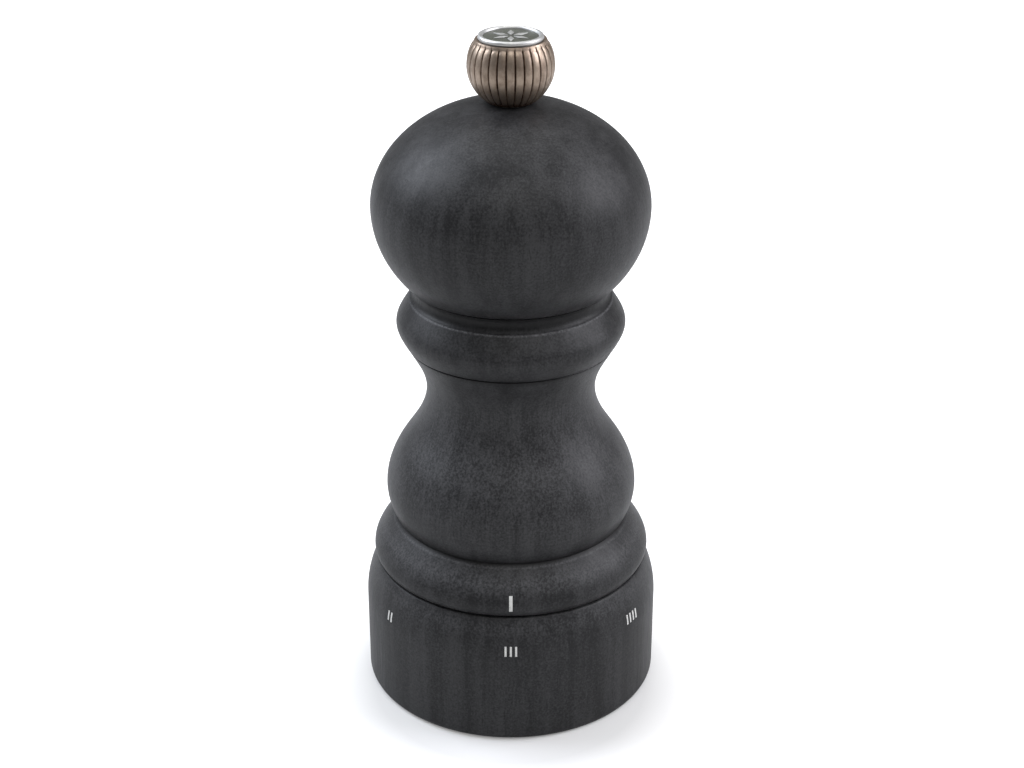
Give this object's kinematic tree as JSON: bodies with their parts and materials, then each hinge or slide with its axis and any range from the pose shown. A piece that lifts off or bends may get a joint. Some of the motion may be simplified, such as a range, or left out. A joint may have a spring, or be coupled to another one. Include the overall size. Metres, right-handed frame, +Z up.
{
  "type": "pepper mill",
  "caption": "Small turned wooden pepper mill with an oval head, reeded metal top knob, pepper chamber, toothed grinder and a marked grind-setting ring at its foot.",
  "frame": {"origin": "centre of the foot, on the table plane", "axes": "+Z up along the shaft, -Y towards the index mark on the lower bead"},
  "size_m": [0.0532, 0.0532, 0.1208],
  "materials": {
    "stained_wood": "satin",
    "pale_fill": "matte",
    "black_nylon": "matte",
    "steel": "brushed",
    "hard_steel": "satin",
    "zinc_steel": "satin",
    "aged_metal": "satin",
    "bright_rim": "polished",
    "dark_enamel": "satin",
    "bearing_bronze": "satin",
    "white_nylon": "matte"
  },
  "bodies": {
    "body": {"mill_body": "stained_wood", "index_mark": "pale_fill", "base_housing": "black_nylon", "housing_screws": "zinc_steel", "shaft_guide": "steel", "bridge": "steel", "bridge_screws": "zinc_steel", "bridge_bush": "bearing_bronze", "ring_circlip": "hard_steel", "click_spring": "hard_steel"},
    "adjusting_ring": {"grind_ring": "stained_wood", "setting_marks": "pale_fill", "ring_insert": "black_nylon"},
    "stator_carriage": {"stator_carrier": "black_nylon", "stator": "hard_steel"},
    "spindle": {"drive_shaft": "steel", "rotor": "hard_steel", "rotor_clip": "hard_steel", "guide_clip": "hard_steel", "thrust_washer": "steel", "rotor_spring": "steel"},
    "head": {"mill_head": "stained_wood", "drive_plate": "steel", "drive_plate_screws": "zinc_steel"},
    "knob_washer": {"knob_washer": "white_nylon"},
    "knob": {"knob_ball": "aged_metal", "knob_bush": "bearing_bronze", "knob_bezel": "bright_rim", "knob_disc": "dark_enamel", "knob_rosette": "bright_rim"}
  },
  "joints": [
    {"name": "grind_setting", "type": "hinge", "parent": "body", "child": "adjusting_ring", "pos_m": [0, 0, 0.012], "axis": [0, 0, 1], "range_deg": [-165, 110], "deforming": ["click_spring"]},
    {"name": "stator_height", "type": "slide", "parent": "body", "child": "stator_carriage", "axis": [0, 0, 1], "range_m": [-0.000367, 0.00055]},
    {"name": "head_turn", "type": "hinge", "parent": "body", "child": "spindle", "pos_m": [0, 0, 0.03], "axis": [0, 0, 1], "continuous": true},
    {"name": "head_lift", "type": "slide", "parent": "spindle", "child": "head", "axis": [0, 0, 1], "range_m": [0, 0.05]},
    {"name": "knob_lift", "type": "slide", "parent": "head", "child": "knob_washer", "axis": [0, 0, 1], "range_m": [0, 0.008]},
    {"name": "knob_turn", "type": "hinge", "parent": "knob_washer", "child": "knob", "pos_m": [0, 0, 0.115], "axis": [0, 0, 1], "range_deg": [0, 3600]}
  ],
  "couplings": [
    {"joint": "stator_height", "follows": "grind_setting", "m_per_rad": -0.00019099},
    {"joint": "knob_lift", "follows": "knob_turn", "m_per_rad": 0.00012732}
  ]
}
